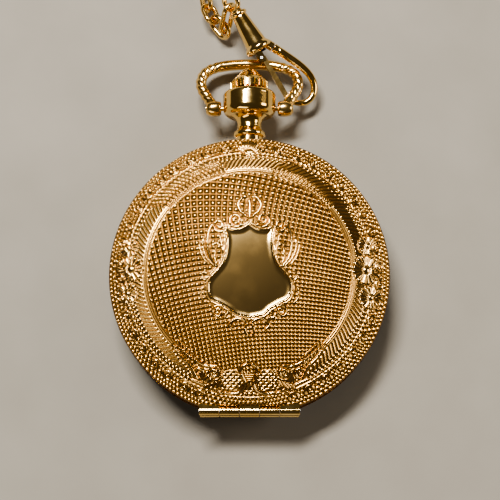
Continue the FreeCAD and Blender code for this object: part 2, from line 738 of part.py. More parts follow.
def click_spring():
    strip = ring(2.6, 2.8, RATCHET_Z, (-5.6, 9.6)).common(box((-9, -2.9), (6, 10.5), RATCHET_Z))
    return strip.cut(disc(1.0, (3, 4), CLICK))


def click_screw():
    return screw(CLICK, 2.85, 4.2, r_head=0.8)


def cannon_pinion():
    leaves = gear(12, MOTION_MODULE, (7.5, 7.85), CENTRE, PHASE_CENTRE)
    tube = disc(0.55, (7.5, 9.42))
    return fuse(leaves, tube).cut(disc(0.34, (7, 10)))


def minute_wheel():
    wheel_z = (7.5, 7.68)
    body = gear(36, MOTION_MODULE, wheel_z, MINUTE_WHEEL, PHASE_MINUTE)
    pinion = gear(10, HOUR_MODULE, (7.66, 8.2), MINUTE_WHEEL, PHASE_MINUTE)
    return fuse(body, pinion).cut(disc(0.31, (7, 9), MINUTE_WHEEL))


def hour_wheel():
    body = gear(40, HOUR_MODULE, (7.95, 8.15), CENTRE, PHASE_HOUR)
    return fuse(body, disc(0.85, (7.9, 9.1))).cut(disc(0.6, (7, 10)))


def hand(length, width, z, bore, at=CENTRE, heading=0.0, tail=0.0, disc_at=None):
    """A clock hand: a boss, a tapered blade and, if asked for, a round swell on it."""
    half = width / 2
    points = [(-half, 0), (-half * 0.8, length * 0.5), (0, length), (half * 0.8, length * 0.5), (half, 0)]
    if tail:
        points += [(width * 0.3, -tail), (-width * 0.3, -tail)]
    wire = Part.makePolygon([V(x, y, z[0]) for x, y in points + points[:1]])
    blade = Part.Face(wire).extrude(V(0, 0, z[1] - z[0]))
    shape = fuse(blade, disc(max(bore + 0.4, width), z))
    if disc_at:
        middle = (0, disc_at)
        shape = fuse(shape, ring(0.55, 0.95, z, middle)).cut(disc(0.55, (z[0] - 1, z[1] + 1), middle))
    shape = shape.cut(disc(bore, (z[0] - 1, z[1] + 1)))
    shape.rotate(V(0, 0, 0), V(0, 0, 1), heading)
    shape.translate(V(at[0], at[1], 0))
    return shape


# --- Clasp and chain ---
def clasp_frame():
    pitch = math.radians(CLASP_PITCH)
    u = V(CLASP_HEADING[0] * math.cos(pitch), CLASP_HEADING[1] * math.cos(pitch), -math.sin(pitch))
    u.normalize()
    across = V(-CLASP_HEADING[1], CLASP_HEADING[0], 0)
    across.normalize()
    w = u.cross(across)
    matrix = FreeCAD.Matrix(
        u.x, across.x, w.x, CLASP_AT[0], u.y, across.y, w.y, CLASP_AT[1],
        u.z, across.z, w.z, CLASP_AT[2], 0, 0, 0, 1)
    return matrix


def in_clasp(shape):
    """Moves a shape built in the clasp's own u, v, w axes to its place."""
    placed = shape.copy()
    placed.Placement = FreeCAD.Placement(clasp_frame()).multiply(placed.Placement)
    return placed


def turned_on_u(points):
    """Solid of revolution about the clasp's barrel axis from a (radius, u) outline."""
    shape = turned(points)
    shape.rotate(V(0, 0, 0), V(0, 1, 0), 90)
    return shape


GATE_PIN = (0.1, -0.5)
GATE_TIP_U = 9.0


def clasp_body():
    """The turned barrel, bored at its narrow end for the swivel's stud, with two ears that hold the gate."""
    barrel = turned_on_u([
        (0.65, -9.1), (1.3, -9.1), ((1.6, -8.7), (1.3, -8.3)), (1.35, -8.1), (2.0, -2.6), (2.3, -2.2),
        ((2.45, -1.75), (2.3, -1.3)), (1.8, -1.0), (0, -1.0), (0, -6.9), (0.65, -6.9),
    ])
    ears = [
        box((-1.2, 0.75), (GATE_PIN[1] - 0.6, GATE_PIN[1] + 0.6), sorted_pair(side * 0.4, side * 0.68))
        for side in (-1, 1)
    ]
    hole = Part.makeCylinder(0.27, 4, V(GATE_PIN[0], GATE_PIN[1], -2))
    return in_clasp(fuse(barrel, *ears).cut(hole))


def clasp_hook():
    """The tapered wire of the hook, from the barrel's shoulder round to the gate's tip."""
    route = [(-1.7, 1.7), (0.6, 2.9), (2.8, 4.0), (5.4, 5.1), (8.1, 5.45), (10.2, 4.45), (10.95, 2.4),
             (10.1, 0.75),
             (9.5, 0.1)]
    curve = Part.BSplineCurve()
    curve.interpolate([V(u, v, 0) for u, v in route])
    path = Part.Wire(curve.toShape())
    ends = []
    for at, r in ((0, HOOK_ROOT_R), (curve.LastParameter, HOOK_TIP_R)):
        ends.append(Part.Wire(Part.makeCircle(r, curve.value(at), curve.tangent(at)[0])))
    return in_clasp(path.makePipeShell(ends, True, True)).cut(clasp_body())


def clasp_gate():
    """The sprung bar that closes the hook, with an eye on its pin."""
    eye = Part.makeCylinder(0.58, 0.72, V(GATE_PIN[0], GATE_PIN[1], -0.36))
    bar = box((GATE_PIN[0], GATE_TIP_U), (GATE_PIN[1] - 0.1, GATE_PIN[1] + 0.8), (-0.36, 0.36))
    hole = Part.makeCylinder(0.29, 4, V(GATE_PIN[0], GATE_PIN[1], -2))
    return in_clasp(fuse(eye, bar).cut(hole))


def gate_pin():
    return in_clasp(Part.makeCylinder(0.25, 1.44, V(GATE_PIN[0], GATE_PIN[1], -0.72)))


def gate_spring():
    """The small leaf that presses the gate shut."""
    return in_clasp(box((-0.98, -0.8), (-0.2, 1.0), (-0.3, 0.3)))


SWIVEL_U = -11.3
SWIVEL_RING_R = 1.6
SWIVEL_ROLL = -36.0      # the eye hangs turned to face the first link


def swivel_eye():
    """A ring on a stud that turns in the barrel's narrow end."""
    stud = Part.makeCylinder(0.6, 2.5, V(-9.5, 0, 0), V(1, 0, 0))
    collar = Part.makeCylinder(1.0, 0.35, V(-9.5, 0, 0), V(1, 0, 0))
    eye = Part.makeTorus(SWIVEL_RING_R, LINK_WIRE_R, V(SWIVEL_U, 0, 0), V(0, 1, 0))
    eye.rotate(V(0, 0, 0), V(1, 0, 0), SWIVEL_ROLL)
    return in_clasp(fuse(eye, collar, stud))


def link(middle, along, across, long_side, short_side):
    """One oval chain link of round wire, with its long side along one direction and its width across."""
    half = (long_side - short_side) / 2
    bend = short_side / 2 - LINK_WIRE_R
    a, b = V(-half, bend, 0), V(half, bend, 0)
    c, d = V(half, -bend, 0), V(-half, -bend, 0)
    edges = [
        Part.LineSegment(a, b).toShape(), Part.Arc(b, V(half + bend, 0, 0), c).toShape(),
        Part.LineSegment(c, d).toShape(), Part.Arc(d, V(-half - bend, 0, 0), a).toShape(),
    ]
    section = Part.Wire(Part.makeCircle(LINK_WIRE_R, a, V(1, 0, 0)))
    shape = Part.Wire(edges).makePipeShell([section], True, True)
    turn = FreeCAD.Rotation(along, across, along.cross(across), "XYZ")
    shape.Placement = FreeCAD.Placement(middle, turn)
    return in_clasp(shape)


LINK_HANG = 57.0      # degrees from the barrel's line to the first link
LINK_GAP = 0.06
# Each link: length, width, and the turn to the next link about the wire that it hangs on
LINKS = ((6.6, 3.4, 110.0), (5.2, 3.6, 20.0), (4.8, 3.4, -25.0), (4.8, 3.4, 0.0))


def chain_links():
    """The links from the eye outwards, each hung in the one before with its width a quarter turn round."""
    across = FreeCAD.Rotation(V(1, 0, 0), SWIVEL_ROLL).multVec(V(0, 1, 0))
    along = FreeCAD.Rotation(across, LINK_HANG).multVec(V(1, 0, 0))
    held_at = V(SWIVEL_U, 0, 0) + along * SWIVEL_RING_R
    links = []
    for long_side, short_side, turn in LINKS:
        middle = held_at + along * (long_side / 2 - 3 * LINK_WIRE_R - LINK_GAP)
        links.append(link(middle, along, across, long_side, short_side))
        held_at = middle + along * (long_side / 2 - LINK_WIRE_R)
        along = FreeCAD.Rotation(across, turn).multVec(along)
        across = along.cross(across)
    return group(links)


def build():
    os.makedirs(PARTS, exist_ok=True)
    for name in os.listdir(PARTS):
        os.remove(os.path.join(PARTS, name))
    makers = (
        front_cover, back_cover, case_band, lift_spring, cover_catch, pendant, pendant_sleeve,
        bow_screws, bow, crown,
        front_bezel, crystal_gasket, crystal, rear_bezel, rear_glass, movement_ring, main_plate,
        barrel_bridge,
        train_bridge, balance_cock, pallet_cock, bridge_screws, jewels, dial, hour_markers, seconds_dial,
        centre_wheel, third_wheel, fourth_wheel, escape_wheel, pallet_fork, balance_wheel, hairspring,
        mainspring_barrel, barrel_cover, mainspring, barrel_arbor, ratchet_wheel, ratchet_screw, crown_wheel,
        winding_stem, winding_pinion, click, click_spring, click_screw, cannon_pinion, minute_wheel,
        hour_wheel,
        clasp_body, clasp_hook, clasp_gate, gate_pin, gate_spring, swivel_eye, chain_links,
    )
    for maker in makers:
        save(maker.__name__, maker())
    save("minute_hand", hand(14.6, 1.1, (9.28, 9.4), 0.55, tail=3.0, disc_at=9.6))
    save("hour_hand", hand(9.4, 1.5, (9.0, 9.12), 0.85, heading=60, disc_at=5.6))
    save("seconds_hand", hand(3.4, 0.3, (8.7, 8.8), 0.2, at=FOURTH, heading=200, tail=1.2))
    pin_span = (-HINGE_HALF, HINGE_HALF)
    save("front_hinge_pin", rod_x(HINGE_PIN_R, pin_span, HINGE_Y, FRONT_SEAM))
    save("back_hinge_pin", rod_x(HINGE_PIN_R, pin_span, HINGE_Y, BACK_SEAM))


build()
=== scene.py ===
"""The looks of the hunter-case pocket watch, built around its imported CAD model.

The watch's own lengths are in millimetres, and are turned into metres as each mesh is made.
Lights are placed in metres.
"""

import json
import math

import bpy
import numpy as np
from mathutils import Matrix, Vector


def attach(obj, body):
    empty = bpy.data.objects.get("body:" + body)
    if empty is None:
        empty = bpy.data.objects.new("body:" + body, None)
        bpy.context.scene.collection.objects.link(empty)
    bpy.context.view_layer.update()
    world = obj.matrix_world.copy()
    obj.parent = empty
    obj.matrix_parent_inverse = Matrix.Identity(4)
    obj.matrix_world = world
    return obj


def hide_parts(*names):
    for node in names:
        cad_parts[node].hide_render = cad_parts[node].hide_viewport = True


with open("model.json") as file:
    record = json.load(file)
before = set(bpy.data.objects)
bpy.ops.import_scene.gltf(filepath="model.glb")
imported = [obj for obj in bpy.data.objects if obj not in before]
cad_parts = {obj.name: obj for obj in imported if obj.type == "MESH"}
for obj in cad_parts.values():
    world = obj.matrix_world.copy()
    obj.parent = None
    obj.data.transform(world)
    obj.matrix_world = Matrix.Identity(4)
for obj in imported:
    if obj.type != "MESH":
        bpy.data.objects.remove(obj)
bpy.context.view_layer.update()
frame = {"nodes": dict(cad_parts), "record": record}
NODES = frame["nodes"]
MM = 0.001

# --- Case shape, as in the CAD model ---
CASE_R = 24.0
SHELL = 0.5
RIM_WALL = 0.8
CHORD_Y = 22.35           # how far below the centre the covers are cut straight, beside the hinge
FRONT_SEAM = 8.95
BACK_SEAM = 3.95
FRONT_TOP = 13.0
FRONT_DROP = 3.7
BACK_FLAT_R = 13.0
BACK_DROP = 3.6
HINGE_Y = -23.2
HINGE_HALF = 8.5
HINGE_R = 0.72
HINGE_BORE_R = 0.34
FRONT_HINGE_Z = 8.9
BACK_HINGE_Z = 4.0
FIELD_R = 17.3            # where a cover's middle mesh meets its border mesh
GROUND_R = 17.2           # where the dotted ground ends
DOT_PITCH = 0.8


def front_z(r):
    return FRONT_TOP - FRONT_DROP * (np.abs(r) / CASE_R) ** 2.6


def back_z(r):
    return BACK_DROP * (np.maximum(np.abs(r) - BACK_FLAT_R, 0) / (CASE_R - BACK_FLAT_R)) ** 2


# --- Meshes ---
def make_mesh(name, verts, faces, smooth=True, relief_heights=None):
    """An object from points in millimetres.

    relief_heights, one for each point, tell the engraved gold which points are raised.
    """
    mesh = bpy.data.meshes.new(name)
    mesh.from_pydata((np.asarray(verts) * MM).tolist(), [], faces)
    mesh.validate()
    if relief_heights is not None:
        layer = mesh.attributes.new("relief", "FLOAT", "POINT")
        layer.data.foreach_set("value", np.asarray(relief_heights, np.float32))
    if smooth:
        mesh.polygons.foreach_set("use_smooth", [True] * len(mesh.polygons))
    obj = bpy.data.objects.new(name, mesh)
    bpy.context.scene.collection.objects.link(obj)
    return obj


def tube_faces(rows, columns, closed_rows, offset=0):
    """Quads of a grid that wraps round its columns and, if asked, its rows too."""
    i = np.arange(rows if closed_rows else rows - 1)[:, None]
    j = np.arange(columns)[None, :]
    a = i * columns + j
    b = i * columns + (j + 1) % columns
    c = ((i + 1) % rows) * columns + (j + 1) % columns
    d = ((i + 1) % rows) * columns + j
    return (np.stack([a, b, c, d], -1).reshape(-1, 4) + offset).tolist()


def rounded(points, steps=8):
    """A smooth curve through the points."""
    p = np.asarray(points, float)
    p = np.vstack([2 * p[0] - p[1], p, 2 * p[-1] - p[-2]])
    out = []
    for a, b, c, d in zip(p, p[1:], p[2:], p[3:]):
        for t in np.arange(steps) / steps:
            out.append(0.5 * (2 * b + (c - a) * t + (2 * a - 5 * b + 4 * c - d) * t ** 2
                              + (3 * b - a - 3 * c + d) * t ** 3))
    return np.array(out + [p[-2]])


# --- Engraving: heights in millimetres over the cover's dome ---
def smooth_step(x, low, high):
    t = np.clip((x - low) / (high - low), 0, 1)
    return t * t * (3 - 2 * t)


def near_line(x, y, line, reach):
    """Indices of the points within reach of a line, with their distances."""
    line = np.asarray(line)
    low, high = line.min(0) - reach, line.max(0) + reach
    index = np.flatnonzero((x > low[0]) & (x < high[0]) & (y > low[1]) & (y < high[1]))
    best = np.full(index.size, 1e9)
    px, py = x[index], y[index]
    for a, b in zip(line[:-1], line[1:]):
        d = b - a
        length2 = max(float(d @ d), 1e-9)
        t = np.clip(((px - a[0]) * d[0] + (py - a[1]) * d[1]) / length2, 0, 1)
        best = np.minimum(best, np.hypot(px - a[0] - t * d[0], py - a[1] - t * d[1]))
    keep = best < reach
    return index[keep], best[keep]


def ridge(h, x, y, line, width, height, floor=None):
    """Raises a round ridge along a line. floor sinks the ground beside it first, which sets the line off."""
    if floor is not None:
        index, d = near_line(x, y, line, width * 2.1)
        blend = smooth_step(d, width * 2.1, width * 1.2)
        h[index] = h[index] * (1 - blend) + floor * blend
    index, d = near_line(x, y, line, width)
    h[index] = np.maximum(h[index], height * np.sqrt(np.clip(1 - (d / width) ** 2, 0, 1)))


def spiral(cx, cy, r, turns, start, hand):
    """A scroll. start is in degrees, and hand is 1 or -1, the way that it turns."""
    t = np.linspace(0, 1, int(22 * turns) + 2)
    angle = math.radians(start) + hand * 2 * math.pi * turns * t
    radius = r * (1 - 0.86 * t)
    return np.stack([cx + radius * np.cos(angle), cy + radius * np.sin(angle)], -1)


def inside(x, y, loop):
    """Whether each point is inside a closed loop."""
    result = np.zeros(x.shape, bool)
    for (ax, ay), (bx, by) in zip(loop, np.roll(loop, -1, 0)):
        if ay == by:
            continue
        result ^= ((ay > y) != (by > y)) & (x < (bx - ax) * (y - ay) / (by - ay) + ax)
    return result


# The right half of the shield's outline
SHIELD_HALF = [
    (0.0, 7.9), (0.5, 7.55), (1.3, 7.1), (2.3, 6.95), (3.2, 7.05), (3.9, 7.3), (3.8, 6.4), (3.65, 5.2),
    (3.75, 4.0), (4.05, 2.2), (4.7, 0.8), (5.7, -0.4), (6.55, -1.5), (6.9, -2.9), (6.4, -4.6), (4.95, -5.4),
    (3.4, -6.3), (2.2, -7.3), (0.0, -7.8),
]


def shield_loop():
    half = rounded(SHIELD_HALF)
    mirrored = half[::-1][1:-1] * (-1, 1)
    return np.vstack([half, mirrored])


def both_sides(lines):
    return [np.asarray(line) * (side, 1) for line in lines for side in (-1, 1)]


def scroll_lines():
    """The raised scrollwork round the shield, as (line, half width, height)."""
    main = [
        spiral(2.35, 8.75, 1.3, 1.7, 215, 1),
        spiral(5.15, 7.8, 1.15, 1.4, 235, 1),
        spiral(5.3, -6.95, 1.1, 1.7, 130, -1),
        rounded([(6.3, 8.0), (6.95, 6.6), (7.1, 4.4), (6.6, 2.2), (5.6, 0.75)]),
        rounded([(0.2, 9.2), (1.4, 10.2), (1.95, 11.5), (1.3, 12.6), (0.5, 12.9)]),
        rounded([(0.35, -11.0), (0.75, -9.9), (0.45, -8.9), (1.3, -8.2), (2.6, -8.3), (3.3, -9.2),
                 (2.7, -9.9)]),
    ]
    thin = [
        rounded([(7.7, 5.9), (7.9, 4.2), (7.2, 2.2), (6.0, 0.8)]),
        rounded([(8.5, 4.4), (7.9, 2.4), (6.8, 1.0)]),
        rounded([(4.4, 3.0), (4.7, 4.6), (5.0, 6.0)]),
        rounded([(5.5, 1.2), (5.9, 2.6), (5.7, 3.9)]),
        rounded([(4.9, 4.3), (5.6, 4.7), (6.3, 4.3)]),
        rounded([(7.4, 0.1), (8.0, -0.8), (7.6, -1.6), (7.0, -1.0)]),
        rounded([(8.1, -3.0), (8.2, -4.4), (7.6, -5.4)]),
        rounded([(3.6, -7.1), (4.2, -7.9), (3.2, -7.9)]),
    ]
    found = [(line, 0.2, 0.36) for line in both_sides(main)]
    found += [(line, 0.12, 0.26) for line in both_sides(thin)]
    found.append((rounded([(0, 9.2), (0.05, 10.6), (0, 12.2)]), 0.24, 0.36))
    return found


def bottom_lines():
    """The scroll group at 6 o'clock and the acanthus sprays beside it."""
    main = [
        rounded([(0.5, -15.7), (1.3, -16.2), (1.2, -17.6), (0.7, -18.8), (1.3, -20.0), (2.6, -20.5),
                 (4.2, -20.3)]),
        spiral(8.6, -17.0, 1.25, 1.7, 60, -1),
        spiral(5.9, -17.0, 1.0, 1.6, 60, 1),
        rounded([(12.6, -12.6), (11.4, -14.4), (9.9, -16.0), (8.6, -18.3)]),
        rounded([(11.6, -12.9), (9.9, -14.4), (7.6, -15.8), (5.6, -16.0)]),
        rounded([(9.7, -18.1), (7.0, -19.3), (4.6, -20.4)]),
    ]
    thin = []
    for i in range(6):
        t = i / 5
        thin.append(rounded([(9.3 + 2.9 * t, -15.6 + 2.6 * t), (9.1 + 2.9 * t, -14.7 + 2.5 * t),
                             (9.7 + 2.2 * t, -13.6 + 1.9 * t)]))
    for i in range(4):
        across = 0.7 * i
        thin.append(rounded([(4.9 + across, -18.4 - 0.2 * i), (5.4 + across, -19.2 - 0.1 * i),
                             (5.3 + across, -20.0)]))
    found = [(line, 0.24, 0.34) for line in both_sides(main)]
    return found + [(line, 0.15, 0.26) for line in both_sides(thin)]


def petals(h, x, y, cx, cy, radius, count, height):
    """A daisy: rounded petals round a domed eye."""
    dx, dy = x - cx, y - cy
    r = np.hypot(dx, dy)
    angle = np.arctan2(dy, dx)
    zone = smooth_step(r, radius, radius * 0.9)
    leaf = np.abs(np.cos(angle * count / 2)) ** 0.6 * smooth_step(r, radius, radius * 0.82)
    leaf = leaf * smooth_step(r, radius * 0.18, radius * 0.3)
    eye = np.sqrt(np.clip(1 - (r / (radius * 0.24)) ** 2, 0, 1))
    h[:] = h * (1 - zone) + zone * height * np.maximum(leaf, 0.9 * eye)


def scales(x, y, cx, cy, pitch):
    """Rows of overlapping fish scales."""
    row = np.floor((y - cy) / (pitch * 0.5))
    u = (x - cx) / pitch + 0.5 * (row % 2)
    du = (u - np.round(u)) * 2
    dv = ((y - cy) / (pitch * 0.5) - row)
    return np.sqrt(np.clip(1 - du ** 2 * 0.9, 0, 1)) * (0.35 + 0.65 * dv)


def beads(u, v, sharp):
    return (np.abs(np.cos(math.pi * u)) * np.abs(np.cos(math.pi * v))) ** sharp


def lattice(x, y):
    """The dotted ground, on a grid that bends gently across the cover."""
    z = x + 1j * y
    w = z + (0.0045 + 0.0075j) * z * z
    return beads(w.real / DOT_PITCH, w.imag / DOT_PITCH, 1.15)


def band(r, low, high, soft=0.08):
    """1 between two radii and 0 outside them, with soft edges."""
    return smooth_step(r, low, low + soft) * smooth_step(r, high, high - soft)


def line_ring(r, at, width, height):
    """A ring at one radius."""
    return height * np.sqrt(np.clip(1 - ((r - at) / width) ** 2, 0, 1))


def border(x, y):
    """Rings outside the dotted ground: ribbon lines, feathers, a bead row and the pebbled rim."""
    r = np.hypot(x, y)
    a = np.arctan2(y, x)
    h = np.zeros_like(r)
    for at in (17.35, 17.75, 18.1):
        h = np.maximum(h, line_ring(r, at, 0.14, 0.2))
    stroke = np.abs(np.cos(80 * a + 0.88 * math.pi * (r - 18.3))) ** 0.8
    h = np.maximum(h, band(r, 18.25, 20.0) * stroke * 0.24)
    for at in (20.1, 21.1):
        h = np.maximum(h, line_ring(r, at, 0.12, 0.22))
    h = np.maximum(h, band(r, 20.2, 21.0) * beads(a * 168 / (2 * math.pi), (r - 20.6) / 0.85, 0.9) * 0.26)
    wobble = 0.35 * np.sin(9 * a) + 0.22 * np.sin(23 * a + 1.3)
    row = (r - 21.3) / 0.62
    pebble = beads(a * 200 / (2 * math.pi) + 0.5 * np.floor(row + 0.5) + wobble, row, 0.8)
    h = np.maximum(h, band(r, 21.2, 24.4) * pebble * 0.24)
    return h


def at_angle(r, angle):
    """The point at a radius and an angle."""
    return np.array([r * math.cos(angle), r * math.sin(angle)])


def border_lines():
    """Curled leaves in the rim, and the fan at 12 o'clock."""
    found = []
    curls = 44
    for i in range(curls):
        angle = 2 * math.pi * i / curls + 0.05
        from_hinge = angle + math.pi / 2
        if abs(math.atan2(math.sin(from_hinge), math.cos(from_hinge))) < 0.28:
            continue
        cx, cy = at_angle(22.3, angle)
        hand = 1 if i % 2 else -1
        found.append((spiral(cx, cy, 1.0, 1.2, math.degrees(angle) + 70 * hand, hand), 0.17, 0.3))
    fan = np.array([0, 21.0])
    for i in range(-5, 6):
        angle = math.radians(90 + i * 13)
        found.append((rounded([fan + at_angle(1.1, angle), fan + at_angle(2.3, angle)]), 0.2, 0.3))
    for i in range(16):
        t = i / 15
        for side in (-1, 1):
            a0 = math.radians(90 + side * (14 + 36 * t))
            a1 = a0 + side * math.radians(5.5)
            leaf = [at_angle(17.9, a0), at_angle(19.1, a0 + side * 0.02), at_angle(20.9, a1)]
            found.append((rounded(leaf), 0.16, 0.27))
    return found


def relief(x, y):
    """Height of the engraving over the dome at each point."""
    r = np.hypot(x, y)
    ground = 0.21 * lattice(x, y)
    h = np.where(r < GROUND_R, ground, border(x, y))
    for line, width, height in bottom_lines():
        ridge(h, x, y, line, width, height, floor=0.02)
    for side in (-1, 1):
        cx, cy = side * 3.0, -18.2
        q = np.hypot((x - cx) / 1.75, (y - cy) / 1.75)
        zone = smooth_step(q, 1.0, 0.9)
        h = h * (1 - zone) + zone * 0.28 * scales(x, y, cx, cy, 0.95)
    for cx, cy, radius, count in (
            (19.9, 0.4, 2.7, 17), (20.6, -4.3, 2.2, 15), (20.2, 4.7, 1.9, 13),
            (-20.2, 0.6, 2.5, 16), (-20.7, -3.6, 2.0, 14), (-20.6, 4.3, 1.8, 12), (0, 20.9, 1.1, 9)):
        petals(h, x, y, cx, cy, radius, count, 0.36)
    for line, width, height in border_lines():
        ridge(h, x, y, line, width, height, floor=0.03)
    loop = shield_loop()
    closed = np.vstack([loop, loop[:1]])
    index, d = near_line(x, y, closed, 2.4)
    outside = ~inside(x[index], y[index], loop)
    calm = smooth_step(d, 0.95, 0.7) * outside
    h[index] = h[index] * (1 - calm) + 0.05 * calm
    for line, width, height in scroll_lines():
        ridge(h, x, y, line, width, height, floor=0.02)
    within = inside(x, y, loop)
    h[within] = 0.0
    frame_d = np.full(x.shape, 9.0)
    frame_d[index] = d
    signed = np.where(within, -frame_d, frame_d)
    h = np.maximum(h, 0.34 * np.sqrt(np.clip(1 - ((signed - 0.12) / 0.17) ** 2, 0, 1)))
    h = np.maximum(h, 0.24 * np.sqrt(np.clip(1 - ((signed - 0.5) / 0.12) ** 2, 0, 1)))
    sunk = smooth_step(-signed, -0.02, 0.75)
    return np.where(within, h * (1 - sunk) - 0.1 * sunk, h)


def disc_grid(n, radius):
    """An n by n grid bent into a disc, and the order of its rim points."""
    t = np.linspace(-1, 1, n)
    u, v = np.meshgrid(t, t)
    x = radius * u * np.sqrt(1 - v ** 2 / 2)
    y = radius * v * np.sqrt(1 - u ** 2 / 2)
    i = np.arange(n)
    rim = np.concatenate([i[:-1], i[:-1] * n + n - 1, (n - 1) * n + i[:0:-1], i[:0:-1] * n])
    quads = (i[:-1, None] * n + i[None, :-1]).reshape(-1)
    faces = np.stack([quads, quads + 1, quads + n + 1, quads + n], -1)
    return x.ravel(), y.ravel(), rim, faces


def cover_field(name, height, inward, engraving, n):
    """The middle of a cover, engraved outside and smooth inside.

    inward is -1 where the inside lies lower than the outside, and 1 where it lies higher.
    """
    x, y, rim, faces = disc_grid(n, FIELD_R)
    h = engraving(x, y)
    out = -inward
    top = np.stack([x, y, height(np.hypot(x, y)) + out * h], -1)
    verts, quads, offset = [top], faces.tolist(), len(top)
    rows = []
    for share in (1.0, 0.9, 0.75, 0.55, 0.3, 0.08):
        rx, ry = x[rim] * share, y[rim] * share
        rows.append(np.stack([rx, ry, height(np.hypot(rx, ry)) + inward * SHELL], -1))
    verts += rows
    count = len(rim)
    j = np.arange(count)
    k = (j + 1) % count
    quads += np.stack([rim[k], rim[j], offset + j, offset + k], -1).tolist()
    for row in range(len(rows) - 1):
        a = offset + row * count
        quads += np.stack([a + k, a + j, a + count + j, a + count + k], -1).tolist()
    last = offset + (len(rows) - 1) * count
    quads.append(list(range(last, last + count))[::-1])
    if inward > 0:
        quads = [q[::-1] for q in quads]
    polished = inside(x, y, shield_loop()) & (h < 0) & (inward < 0)
    tag = np.concatenate([np.where(polished, 0.34, h), np.full(count * len(rows), 0.3)])
    return make_mesh(name, np.vstack(verts), quads, relief_heights=tag)


def cover_border(name, height, inward, seam, engraving, rows, columns):
    """The outer ring of a cover, cut straight along the hinge, with its square rim."""
    a = np.linspace(0, 2 * math.pi, columns, endpoint=False)
    reach = np.minimum(CASE_R, CHORD_Y / np.maximum(-np.sin(a), 0.5))
    out = -inward
    loops, tags = [], []

    def add(r, z, tag):
        loops.append(np.stack([r * np.cos(a), r * np.sin(a), z], -1))
        tags.append(tag)

    for t in np.linspace(0, 1, rows):
        r = FIELD_R + t * (reach - FIELD_R)
        edge = smooth_step(r, CASE_R, CASE_R - 0.25)
        h = engraving(r * np.cos(a), r * np.sin(a)) * edge
        round_off = np.clip((r - (reach - 0.3)) / 0.3, 0, 1) ** 2 * 0.22
        add(r, height(r) + out * (h - round_off), h)
    plain = np.full(columns, 0.24)
    add(reach, height(reach) + inward * 0.6, plain)
    add(reach, np.full(columns, seam + out * 0.15), plain)
    add(reach - 0.12, np.full(columns, seam), plain)
    add(reach - 0.65, np.full(columns, seam), plain)
    inner = reach - RIM_WALL
    add(inner, np.full(columns, seam + out * 0.12), plain)
    add(inner, height(inner) + inward * SHELL, plain)
    for t in (0.3, 0.65, 1.0):
        r = inner + t * (FIELD_R - inner)
        add(r, height(r) + inward * SHELL, plain)
    faces = tube_faces(len(loops), columns, True)
    if inward < 0:
        faces = [f[::-1] for f in faces]
    return make_mesh(name, np.vstack(loops), faces, relief_heights=np.concatenate(tags))


def hinge_leaf(name, axis_z, side):
    """The cover's three knuckles with their webs."""
    verts, faces = [], []
    width = 2 * HINGE_HALF / 5
    gap, bevel = 0.06, 0.05
    n = 40
    angle = np.linspace(0, 2 * math.pi, n, endpoint=False)
    for i in (0, 2, 4):
        x0, x1 = -HINGE_HALF + i * width + gap, -HINGE_HALF + (i + 1) * width - gap
        base = len(verts)
        for x, r in (
                (x0, HINGE_BORE_R), (x0, 0.68), (x0 + bevel, HINGE_R),
                (x1 - bevel, HINGE_R), (x1, 0.68), (x1, HINGE_BORE_R)):
            for t in angle:
                verts.append((x, HINGE_Y + r * math.cos(t), axis_z + r * math.sin(t)))
        faces += tube_faces(6, n, True, base)
        z0, z1 = axis_z + side * 0.06, axis_z + side * 0.7
        y0, y1 = HINGE_Y + 0.3, -22.0
        base = len(verts)
        for x in (x0 + 0.02, x1 - 0.02):
            verts += [(x, y0, z0), (x, y1, z0), (x, y1, z1), (x, y0, z1)]
        faces += [[base + k for k in f] for f in (
            (0, 1, 2, 3), (7, 6, 5, 4), (0, 4, 5, 1), (1, 5, 6, 2), (2, 6, 7, 3), (3, 7, 4, 0))]
    return make_mesh(name, verts, faces, smooth=False)


def back_relief(x, y):
    """Engine-turned back: waves round a plain disc, with the same rim as the front. Cut in, never raised."""
    r = np.hypot(x, y)
    a = np.arctan2(y, x)
    wave = np.abs(np.cos(math.pi * (r / 0.9 + 0.45 * np.sin(a * 36)))) ** 0.7
    h = 0.16 * wave * smooth_step(r, 5.2, 5.6) * smooth_step(r, 17.2, 16.8)
    h = np.maximum(h, line_ring(r, 4.9, 0.25, 0.16))
    h = np.maximum(h, line_ring(r, 4.3, 0.12, 0.12))
    h = np.where(r > GROUND_R, np.minimum(border(x, y), 0.2), h)
    h = np.where(r < 4.1, 0.12, h)
    # Lying at or below zero, the whole back takes the near-black painted shade that the engraved gold gives
    # its cuts.
    return h - 0.2


# --- Materials ---
def material(name, color, metallic=1.0, roughness=0.3):
    """A new material, its node tree and its shader."""
    m = bpy.data.materials.new(name)
    m.use_nodes = True
    bsdf = m.node_tree.nodes["Principled BSDF"]
    bsdf.inputs["Base Color"].default_value = (*color, 1)
    bsdf.inputs["Metallic"].default_value = metallic
    bsdf.inputs["Roughness"].default_value = roughness
    return m, m.node_tree, bsdf


def add_node(tree, kind, **values):
    node = tree.nodes.new(kind)
    for key, value in values.items():
        if key in node.inputs:
            node.inputs[key].default_value = value
        else:
            setattr(node, key, value)
    return node


def ramp(tree, source, stops):
    node = tree.nodes.new("ShaderNodeValToRGB")
    elements = node.color_ramp.elements
    while len(elements) < len(stops):
        elements.new(0.5)
    for element, (at, color) in zip(elements, stops):
        element.position = at
        element.color = (*color, 1)
    tree.links.new(source, node.inputs["Fac"])
    return node.outputs["Color"]


